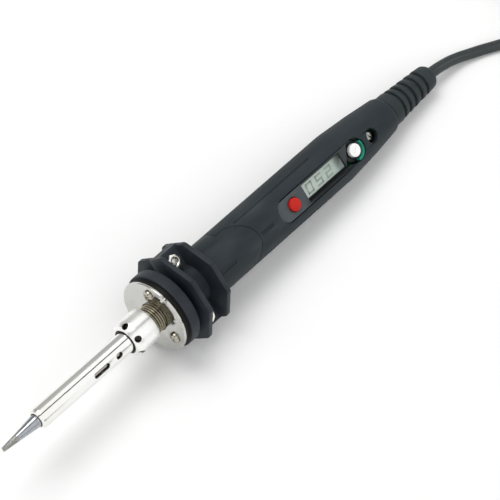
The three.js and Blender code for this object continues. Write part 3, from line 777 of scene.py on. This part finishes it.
def cord_tie():
    """A flat tie drawn round the hank's waist, with its twisted end on top."""
    half, low, high = WAIST + CORD_WIDE / 2 + 0.45, 0.35, HANK_LOW + LAYER * TURNS + 1.7
    loop = [(-half, low, 1.4), (half, low, 1.4), (half, high, 1.6), (-half, high, 1.6)]
    outer = rounded(loop, True, 6)
    middle = (HANK_FRONT + HANK_REAR) / 2
    bm = bmesh.new()
    rings = []
    centre = Vector((0, (low + high) / 2))
    for p in outer:
        out = (p - centre).normalized() * 0.25
        ring = []
        for x, k in ((-1.6, -1), (1.6, -1), (1.6, 1), (-1.6, 1)):
            ring.append(bm.verts.new((middle + x, p.x + out.x * k, p.y + out.y * k)))
        rings.append(ring)
    band = skin(bm, rings, closed=True)
    bm = bmesh.new()
    rings = []
    count, wide, thick = 40, 0.9, 0.2
    corners = ((-wide, -thick), (wide, -thick), (wide, thick), (-wide, thick))
    for i in range(count):
        t, a = i / (count - 1), i * 0.55
        p = Vector((middle + 1 + 11 * t, 0.6 + 1.2 * math.sin(3 * t), high + 0.7 - 0.4 * t))
        side = Vector((0, math.cos(a), math.sin(a)))
        flat = Vector((0, -math.sin(a), math.cos(a)))
        rings.append([bm.verts.new(p + side * u + flat * v) for u, v in corners])
    return softened(join(band, skin(bm, rings)), 0.06, 50)


lead, cord_path = make_cord()
plug = [
    piece("moulded_plug", plug_body(), "plug_black", nodes=("plug_body",), matrix=TABLE),
    piece("blade_near", plug_blade(-1), "blade_brass", nodes=("plug_blade_1",), matrix=TABLE),
    piece("blade_far", plug_blade(1), "blade_brass", nodes=("plug_blade_2",), matrix=TABLE),
]
tie = piece("cord_tie", cord_tie(), "plug_black", matrix=TABLE, finish="tie_black")


# ---- Heating end ----
def chisel_bit():
    body = lathe([
        (0, 0), (0, 0.8, 0.25), (6.5, 1.42, 3), (15.6, 2.45, 0.6), (17.0, 2.45, 0.4),
        (18.6, 3.0, 0.3), (61, 3.0, 0.2), (61, 2.15, 0.2), (20.5, 2.15, 0.3), (20.0, 0),
    ])
    below = [(-0.1, -0.2), (6.5, -1.6), (18.6, -5), (62, -5)]
    wedge = below + [(x, -z) for x, z in reversed(below)]
    return softened(common(body, upright(prism(wedge, -6, 6))), 0.07, 25, 3)


BARREL_SLOTS = [(41.8, 49.4), (52.9, 55.9)]
SLOT_HALF, SLOT_AROUND = 1.1, 15
BARREL_R, BARREL_BORE, BARREL_MOUTH = 4.0, 3.5, 2.75


def barrel_tube():
    tube = lathe([
        (16.3, BARREL_MOUTH, 0.15), (16.3, 3.2, 0.35), (16.9, 3.75, 0.5), (17.8, BARREL_R, 0.8),
        (66.0, BARREL_R, 0.2), (66.0, 5.5, 0.2), (67.0, 5.5, 0.2), (67.0, BARREL_BORE, 0.1),
        (19.0, BARREL_BORE, 0.3), (17.6, BARREL_MOUTH, 0.3),
    ])
    turn = turning(SLOT_AROUND, "X")
    slots = [moved_by(prism(stadium(a, b, SLOT_HALF), -6, 6), turn) for a, b in BARREL_SLOTS]
    return softened(cut(tube, *slots), 0.06, 40)


def barrel_nut():
    """A domed nut with six blind holes round its shoulder for a pin spanner."""
    front, end, r = NUT_FRONT, NUT_END, NUT_R
    body = lathe([
        (front, 4.3, 0.1), (front, NUT_MOUTH_R, 0.5), (front + 0.6, r - 0.9, 0.8),
        (front + 1.7, r - 0.2, 1.4), (NUT_SHOULDER, r, 1.2), (end, r, 0.5), (end, 5.85, 0.2),
        (65.7, 5.85, 0.2), (65.7, 4.3, 0.2),
    ], steps=6)
    holes = []
    for i in range(6):
        hole = rod_z(0, 0, -1.7, 2, 1.25, 32)
        place = turning(60 * i, "X") @ Matrix.Translation((front + 1.4, 0, r - 0.6))
        holes.append(moved_by(hole, place @ turning(-45, "Y")))
    return softened(cut(body, *holes), 0.08, 38)


def threaded_sleeve():
    """A rolled thread on a sleeve: its radius follows a ridge that winds one pitch each turn."""
    start, stop, pitch, crest, depth = 67.4, 77.2, 1.0, 5.55, 0.42
    sides, per_pitch = 72, 10
    steps = round((stop - start) / pitch * per_pitch)
    bm = bmesh.new()

    def ring(x, radii):
        angles = [2 * math.pi * k / sides for k in range(sides)]
        return [bm.verts.new((x, *polar(r, a))) for r, a in zip(radii, angles)]

    rings = []
    for i in range(steps + 1):
        x = start + (stop - start) * i / steps
        fade = min(1, (x - start) / 0.8 + 0.25)
        phases = [(x / pitch - k / sides) % 1 for k in range(sides)]
        ridges = [min(1, 2.6 * min(phase, 1 - phase)) for phase in phases]
        run_in = (1 - fade) * 0.3
        rings.append(ring(x, [crest - depth * (1 - ridge) * fade - run_in for ridge in ridges]))
    for x, r in ((stop, 8.0), (78.7, 8.0), (78.7, 3.6), (start, 3.6)):
        rings.append(ring(x, [r] * sides))
    return skin(bm, rings, closed=True)


PLATE_FRONT, PLATE_BACK, SCREW_CIRCLE = 76.0, 77.0, 10.5
PLATE_SCREWS = [60, 180, 300]


def flange_plate():
    hole = 5.8
    disc = lathe([
        (PLATE_FRONT, hole, 0.15), (PLATE_FRONT, 14.6, 0.3), (PLATE_BACK, 14.6, 0.15),
        (PLATE_BACK, hole, 0.1),
    ], 160)
    # Two small notches in the rim locate the plate on the bush.
    notches = []
    for angle in (30, -12):
        notch = block(75, 78, -0.55, 0.55, 14.25, 15, 0)
        notches.append(moved_by(notch, turning(-angle, "X")))
    return softened(cut(disc, *screw_holes(74, 79, 1.3), *notches), 0.06, 50)


def screw_place(angle):
    """Takes something drawn up the z axis to a plate screw's place, pointing back."""
    return turning(angle, "X") @ Matrix.Translation((0, 0, SCREW_CIRCLE)) @ turning(90, "Y")


def screw_holes(low, high, radius):
    return [moved_by(rod_z(0, 0, low, high, radius), screw_place(a)) for a in PLATE_SCREWS]


def cross_recess(depth, reach, width, back):
    """Two tapered bars that cut a cross recess into a head at height back along z."""
    bars = []
    narrow, deep = reach * 0.45, back + depth
    outline = [(-reach, back), (reach, back), (narrow, deep), (-narrow, deep)]
    for turned in (0, 90):
        bar = upright(prism(outline, -width / 2, width / 2))
        bars.append(moved_by(bar, turning(turned, "Z")))
    return bars


def plate_screw(angle, spin):
    top = PLATE_FRONT - 1.35
    head = lathe([
        (top, 0), (top, 1.35, 0.9), (PLATE_FRONT - 0.75, 2.1, 0.5),
        (PLATE_FRONT - 0.05, 2.2, 0.12), (PLATE_FRONT - 0.05, 1.0), (82.0, 1.0, 0.1), (82.6, 0),
    ], 64, "z")
    cross = cross_recess(1.0, 1.35, 0.5, top - 0.05)
    head = moved_by(softened(cut(head, *cross), 0.05, 45), Matrix.Rotation(spin, 4, "Z"))
    return moved_by(head, screw_place(angle))


piece("chisel_bit", chisel_bit(), "bit_tinned", "barrel", ("bit",), angle=25)
piece("vented_barrel", barrel_tube(), "barrel_steel", "barrel", ("barrel_tube",))
piece("domed_nut", barrel_nut(), "nut_nickel", "nut", ("barrel_nut",))
piece("rolled_thread", threaded_sleeve(), "thread_brass", nodes=("threaded_sleeve",), angle=50)
piece("face_plate", flange_plate(), "plate_nickel", nodes=("flange_plate",))
for number, (place, spin) in enumerate(zip(PLATE_SCREWS, (0.35, 0.8, 1.2)), 1):
    screw, node = plate_screw(place, spin), f"plate_screw_{number}"
    piece(f"cross_screw_{number}", screw, "screw_nickel", nodes=(node,))


# ---- Collar ----
def front_bush():
    body = lathe([
        (77.3, 8.3, 0.2), (77.3, 14.1, 0.3), (NECK_END, 14.1, 0.2), (NECK_END, 15.3, 0.5),
        (83.7, 15.3, 0.6), (83.7, 6.0, 0.3), (112.0, 6.0, 0.3), (112.0, 4.5, 0.2),
        (NECK_END, 4.5, 0.2), (NECK_END, 8.3, 0.1),
    ], 160)
    return softened(cut(body, *screw_holes(76, 83, 1.25)), 0.05, 50)


FLANGE_ANGLES = [20, 67.5, 112.5, 157.5]


def flange_outline(corner_r):
    angles = [*FLANGE_ANGLES, *(360 - a for a in reversed(FLANGE_ANGLES))]
    corners = [polar(corner_r, math.radians(a)) for a in angles]
    return [(-v, u, 2.6) for u, v in corners]


FLANGE_THICK, FLANGE_EDGE = 2.0, 0.4
CLAMP_X, CLAMP_Y = 92.8, 11.9
EAR_HALF, EAR_THICK = 16.2, 2.1
HUB_R, HUB_BORE = 7.8, 6.3


def collar_half(side):
    front, rear = [
        prism(flange_outline(corner_r), x, x + FLANGE_THICK, FLANGE_EDGE, "x", 6)
        for x, corner_r in ((86.2, 18.65), (97.4, 17.1))
    ]
    hub = lathe([(86.7, 0), (86.7, HUB_R), (98.9, HUB_R), (98.9, 0)], 96)
    corners = [(86.8, -EAR_HALF), (98.8, -EAR_HALF), (98.8, EAR_HALF), (86.8, EAR_HALF)]
    ears = prism([(x, y, 0.8) for x, y in corners], -EAR_THICK, EAR_THICK, 0.35)
    whole = join(front, rear, hub, ears)
    bore = lathe([(80, 0), (80, HUB_BORE), (105, HUB_BORE), (105, 0)], 96)
    holes = [rod_z(CLAMP_X, k * CLAMP_Y, -5, 5, 1.45) for k in (-1, 1)]
    return softened(common(cut(whole, bore, *holes), half_space(side, 30, 0.06)), 0.1, 50)


def clamp_bolt(y):
    under = -EAR_THICK - 0.05
    bolt = lathe([
        (under - 1.6, 0), (under - 1.6, 1.9, 0.4), (under - 1.1, 2.3, 0.4), (under, 2.3, 0.15),
        (under, 1.22, 0.05),
        *[(under + 0.6 + 0.22 * i, 1.22 - 0.14 * (i % 2)) for i in range(25)],
        (4.05, 1.1, 0.1), (4.2, 0.8, 0.1), (4.2, 0),
    ], 48, "z", 3)
    cross = cross_recess(1.0, 1.4, 0.5, under - 1.65)
    return placed(cut(bolt, *cross), CLAMP_X, y)


def clamp_nut(y):
    """A hexagonal nut with its corners chamfered by a cone."""
    low, high, flats = EAR_THICK + 0.05, EAR_THICK + 2.25, 5.0
    hexagon = prism(arc(0, flats / math.sqrt(3), 0, math.radians(300), 5), low, high)
    cone = lathe([(low, 0), (low, 2.95), (high - 0.35, 2.95), (high, 2.45), (high, 0)], 72, "z")
    mouth = [(high - 0.4, 0), (high - 0.4, 1.35), (high + 0.1, 1.85), (high + 0.1, 0)]
    sink = lathe(mouth, 48, "z")
    body = cut(common(hexagon, cone), rod_z(0, 0, low - 1, high + 1, 1.4), sink)
    return placed(softened(body, 0.08, 25), CLAMP_X, y, math.degrees(0.6))


piece("bush", front_bush(), "collar_black", nodes=("front_bush",), finish="bush_black")
piece("collar_top", collar_half(1), "collar_black", nodes=("collar_upper",))
piece("collar_bottom", collar_half(-1), "collar_black", nodes=("collar_lower",))
for number, place in enumerate((CLAMP_Y, -CLAMP_Y), 1):
    piece(f"bolt_{number}", clamp_bolt(place), "bolt_steel", nodes=(f"clamp_bolt_{number}",))
    piece(f"hex_nut_{number}", clamp_nut(place), "clamp_nut_nickel", nodes=(f"clamp_nut_{number}",))


# ---- Handle ----
GRIP_R, HANDLE_BORE, RING, TONGUE, TONGUE_R = 10.3, 8.4, 111.85, 124.6, 9.1
GRIP_GROOVES = 6
SEAM = 0.12


def tongue_outline(room):
    """The grip's ring and its round tongue, seen from above, grown by this much."""
    ring, radius, side, centre = RING + room, TONGUE_R + room, 15, TONGUE - TONGUE_R
    tip = arc(centre, radius, -math.pi / 2, math.pi, 32)
    near = [(90, -side), (ring, -side), (ring, -radius, 0.5)]
    return [*near, *tip, (ring, radius, 0.5), (ring, side), (90, side)]


def long_groove(x0, x1, half, around, floor):
    """A cutter for a shallow groove along the iron, this many degrees round from the panel."""
    cutter = prism(stadium(x0, x1, half), floor, GRIP_R + 2)
    return moved_by(cutter, turning(around, "X"))


def front_grip():
    tube = lathe([
        (99.65, 6.15, 0.3), (99.65, GRIP_R, 0.8), (TONGUE + 2, GRIP_R, 0.2),
        (TONGUE + 2, HANDLE_BORE, 0.2), (101.7, HANDLE_BORE, 0.2), (101.7, 6.15, 0.2),
    ], 160)
    body = common(tube, prism(tongue_outline(0), -12, 12))
    places = [6 + 360 / GRIP_GROOVES * i for i in range(GRIP_GROOVES)]
    grooves = [long_groove(103, 111, 0.5, around, GRIP_R - 0.2) for around in places]
    return softened(cut(body, *grooves), 0.14, 35)


def shell_tube():
    return lathe([
        (108.0, 6.6, 0.2), (108.0, 8.1, 0.2), (111.0, 8.1), (111.0, GRIP_R), (177.0, GRIP_R, 40),
        (192.0, 9.1, 30), (205.0, 7.65, 1.0), (206.4, 7.1, 0.35), (206.4, 5.2, 0.1),
        (209.8, 5.2, 0.2), (209.8, 3.4, 0.2), (203.5, 3.4, 0.2), (203.0, 5.7, 0.2),
        (177.0, HANDLE_BORE), (127.6, HANDLE_BORE, 0.2), (125.6, 6.6, 0.2),
    ], 160, steps=8)


PANEL_FRONT, PANEL_REAR, PANEL_HALF, PANEL_TOP, PANEL_LOW = 136.5, 180.6, 4.55, 9.2, 7.9
PANEL_GAP = 0.12
BUTTON_X, POT_X, TRIMMER_X = 144.8, 180.6, 190.4


def handle_shell(side):
    ring = lathe([(90, 8.15), (90, 14), (130, 14), (130, 8.15)], 160)
    room = common(ring, prism(tongue_outline(SEAM), -15, 15))
    # Faint creases run back from the tongue, beside the panel.
    creases = [long_groove(121, 163, 0.3, side * a, GRIP_R - 0.12) for a in (-58, 58)]
    half = cut(common(shell_tube(), half_space(side, 15, 0.05)), room, *creases)
    if side > 0:
        rim = PANEL_HALF + PANEL_GAP
        half = cut(
            half,
            prism(stadium(PANEL_FRONT - PANEL_GAP, PANEL_REAR + rim, rim), 7.6, 14),
            prism(stadium(POT_X - rim - 1, POT_X + rim, rim), 5, 14),
            rod_z(TRIMMER_X, 0, 3, 14, 2.8),
            long_groove(126, 132, 0.35, 0, GRIP_R - 0.12),
        )
    return softened(half, 0.15, 40)


def control_panel():
    """The panel, with its rear edge slanting across in front of the dial."""
    outline = stadium(PANEL_FRONT, PANEL_REAR + PANEL_HALF, PANEL_HALF)
    plate = prism(outline, PANEL_LOW, PANEL_TOP, 0.25)
    window = block(151.6, 173.2, -3.9, 3.9, 5, 12)
    button = rod_z(BUTTON_X, 0, 5, 12, 2.8)
    beyond = placed(block(-4.6, 20, -20, 20, 5, 12), POT_X, 0, -33)
    return softened(cut(plate, window, button, beyond), 0.14, 50)


piece("grip", front_grip(), "handle_slate", nodes=("front_grip",))
piece("shell_top", handle_shell(1), "handle_slate", nodes=("handle_upper",))
piece("shell_bottom", handle_shell(-1), "handle_slate", nodes=("handle_lower",))
piece("panel", control_panel(), "panel_grey", nodes=("control_panel",))


# ---- Controls ----
def push_button():
    cap = lathe([
        (5.9, 0), (5.9, 1.2, 0.1), (6.8, 1.2, 0.1), (6.8, 3.3, 0.1), (7.5, 3.3, 0.1),
        (7.5, 2.55, 0.1), (10.25, 2.55, 0.5), (10.5, 0.9, 2), (10.5, 0),
    ], 72, "z", 6)
    return placed(cap, BUTTON_X)


def pot_body():
    """The pot's round body, with a guard that stands up round one side of its dial."""
    profile = [(3.5, 0), (3.5, 4.4, 0.2), (6.5, 4.4, 0.1), (6.5, 1.0, 0.1), (4.3, 1.0), (4.3, 0)]
    base = lathe(profile, 96, "z")
    outer, inner = [arc(0, r, math.radians(-95), math.radians(125), 40) for r in (4.3, 3.6)]
    guard = prism([*outer, *reversed(inner)], 6.3, 9.0)
    return placed(softened(join(base, guard), 0.12, 50), POT_X)


def dial():
    knob = lathe([
        (4.7, 0), (4.7, 0.7, 0.1), (6.9, 0.7, 0.1), (6.9, 2.6, 0.15), (8.9, 2.6, 0.4), (8.9, 0),
    ], 72, "z", 6)
    slot = block(-1.7, 1.7, -0.3, 0.3, 8.5, 10)
    return placed(softened(cut(knob, slot), 0.05, 50), POT_X, 0, 40)


def trimmer_body():
    body = block(TRIMMER_X - 2.4, TRIMMER_X + 2.4, -2.4, 2.4, 3.5, 5.6, 0.25)
    return cut(body, rod_z(TRIMMER_X, 0, 4.4, 7, 0.9))


def trimmer_screw():
    screw = lathe([
        (4.8, 0), (4.8, 0.6, 0.05), (6.2, 0.6, 0.05), (6.2, 1.6, 0.1), (6.8, 1.6, 0.2), (6.8, 0),
    ], 48, "z")
    slot = block(-2, 2, -0.28, 0.28, 6.4, 8)
    return placed(softened(cut(screw, slot), 0.05, 50), TRIMMER_X, 0, -50)


def display_holder():
    tray = block(150.2, 175.6, -5, 5, 3.5, 5.5, 0.2)
    return softened(cut(tray, block(151, 175.0, -3.0, 3.0, 5.1, 6)), 0.08, 50)


def display_glass():
    return block(150.6, 174.8, -2.85, 2.85, 5.8, 6.5, 0.12)


SEGMENTS = {"0": "abcdef", "5": "afgcd", "2": "abged"}


def digit(character, x, low, wide=3.5, tall=4.3, bar=0.85):
    """A seven-segment digit whose top points to +y, as one thin mesh of bars."""
    half, up = wide / 2, tall / 2
    places = {
        "a": (-half, half, up - bar, up),
        "g": (-half, half, -bar / 2, bar / 2),
        "d": (-half, half, -up, bar - up),
        "f": (-half, bar - half, 0, up),
        "b": (half - bar, half, 0, up),
        "e": (-half, bar - half, -up, 0),
        "c": (half - bar, half, -up, 0),
    }
    bars = []
    for key in SEGMENTS[character]:
        x0, x1, y0, y1 = places[key]
        trim = 0.09  # of each bar's edges, so that the bars stay apart
        bars.append(block(x0 + trim, x1 - trim, y0 + trim, y1 - trim, low, low + 0.03))
    bm = bmesh.new()
    for mesh in bars:
        bm.from_mesh(mesh)
    for v in bm.verts:
        v.co.x += x + 0.10 * v.co.y  # the digits lean a little
    return to_mesh(bm)


piece("red_push_button", push_button(), "button_red", "button", ("red_button",))
piece("pot_body", pot_body(), "pot_green", nodes=("temperature_pot",))
piece("white_dial", dial(), "dial_white", "dial", ("temperature_dial",))
piece("trimmer", trimmer_body(), "trimmer_blue", nodes=("calibration_trimmer",))
piece("slotted_screw", trimmer_screw(), "screw_brass", "calibration", ("calibration_screw",))
piece("display_tray", display_holder(), "holder_black", nodes=("display_holder",))
piece("display", display_glass(), "display_grey", nodes=("display_glass",))
for place, character in ((156.2, "0"), (161.6, "5"), (167.0, "2")):
    piece(f"digit_{character}", digit(character, place, 6.5), "display_grey", finish="digit_grey")


# ---- Strain relief ----
def strain_relief():
    neck, end, half, deep = 211.2, 234.0, 0.8, 1.2
    outline = [(206.8, 5.5, 0.1), (206.8, 6.6, 0.35), (neck, 6.55, 0.6)]
    for x in (212.1, 215.6, 219.3, 223.3, 227.2):
        r = 6.4 - 1.5 * (x - neck) / (end - neck)
        outline += [(x - half, r, 0.45), (x - 0.55, r - deep, 0.2)]
        outline += [(x + 0.55, r - deep, 0.2), (x + half, r, 0.45)]
    outline += [(232.6, 4.9, 1.2), (end, 4.0, 1.2), (end, 2.9, 0.1)]
    return lathe([*outline, (210.4, 2.9, 0.1), (210.4, 5.5, 0.1)], 120)


piece("ribbed_relief", strain_relief(), "relief_black", nodes=("strain_relief",))

# ---- Inside the handle: these solids keep their own shapes ----
INNER_SLOTS = {
    "heater_rod": "heater_ceramic",
    "tact_switch": "switch_black",
    "circuit_board": "board_green",
    "triac": "chip_black",
    "film_capacitor": "film_yellow",
    "electrolytic_capacitor": "can_blue",
    "heater_lead_1": "lead_red",
    "heater_lead_2": "lead_white",
    "heater_lead_3": "lead_red",
    "heater_lead_4": "lead_white",
    "mains_core_1": "core_brown",
    "mains_core_2": "core_blue",
}
for node, slot_name in INNER_SLOTS.items():
    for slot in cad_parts[node].material_slots:
        slot.material = material(slot_name)


# ---- Surface and light ----
def make_floor():
    bm = bmesh.new()
    bmesh.ops.create_grid(bm, x_segments=8, y_segments=8, size=4)
    floor = add_object("floor", to_mesh(bm, "floor"))
    floor.location.z = -0.0002
    shader = Shader("floor_white", TABLE)
    tone = shader.fade(shader.noise(60, 2), 0.3, 0.7)
    shader.set(Base_Color=shader.blend(tone, (0.90, 0.905, 0.90), (0.93, 0.93, 0.93)))
    shader.set(Roughness=0.9, Specular_IOR_Level=0.1)
    floor.data.materials.append(shader.material)


def make_light(name, azimuth, elevation, distance, size, power):
    data = bpy.data.lights.new(name, "AREA")
    data.shape = "DISK"
    data.size = size
    data.energy = power
    set_up(name, data, azimuth, elevation, distance)


def make_world():
    """A white studio with a narrow dark strip and two dim bands, for the bright metal to show."""
    world = bpy.data.worlds.new("studio")
    world.use_nodes = True
    tree = world.node_tree
    background = tree.nodes["Background"]
    where = tree.nodes.new("ShaderNodeTexCoord")
    across = tree.nodes.new("ShaderNodeVectorMath")
    across.operation = "DOT_PRODUCT"
    across.inputs[1].default_value = (0.033, 0.904, 0.427)
    ramp = tree.nodes.new("ShaderNodeValToRGB")
    band, white, strip = (0.42, 0.42, 0.41), (1.0, 1.0, 1.0), (0.02, 0.02, 0.02)
    stops = [(0.00, band), (0.10, band), (0.14, white), (0.565, white), (0.580, strip)]
    stops += [(0.645, strip), (0.660, white), (0.85, (1.0, 1.0, 0.99))]
    stops += [(0.93, (0.46, 0.46, 0.45)), (1.00, (0.38, 0.38, 0.37))]
    while len(ramp.color_ramp.elements) < len(stops):
        ramp.color_ramp.elements.new(0.5)
    for element, (position, colour) in zip(ramp.color_ramp.elements, stops):
        element.position = position
        element.color = (*colour, 1)
    half = tree.nodes.new("ShaderNodeMath")
    half.operation = "MULTIPLY_ADD"
    half.inputs[1].default_value = 0.5
    half.inputs[2].default_value = 0.5
    tree.links.new(where.outputs["Generated"], across.inputs[0])
    tree.links.new(across.outputs["Value"], half.inputs[0])
    tree.links.new(half.outputs[0], ramp.inputs["Fac"])
    tree.links.new(ramp.outputs["Color"], background.inputs["Color"])
    background.inputs["Strength"].default_value = 1.08
    bpy.context.scene.world = world


make_floor()
make_world()
make_light("key", 178, 68, 1.5, 0.9, 7.5)
bpy.context.scene.view_settings.view_transform = "Standard"
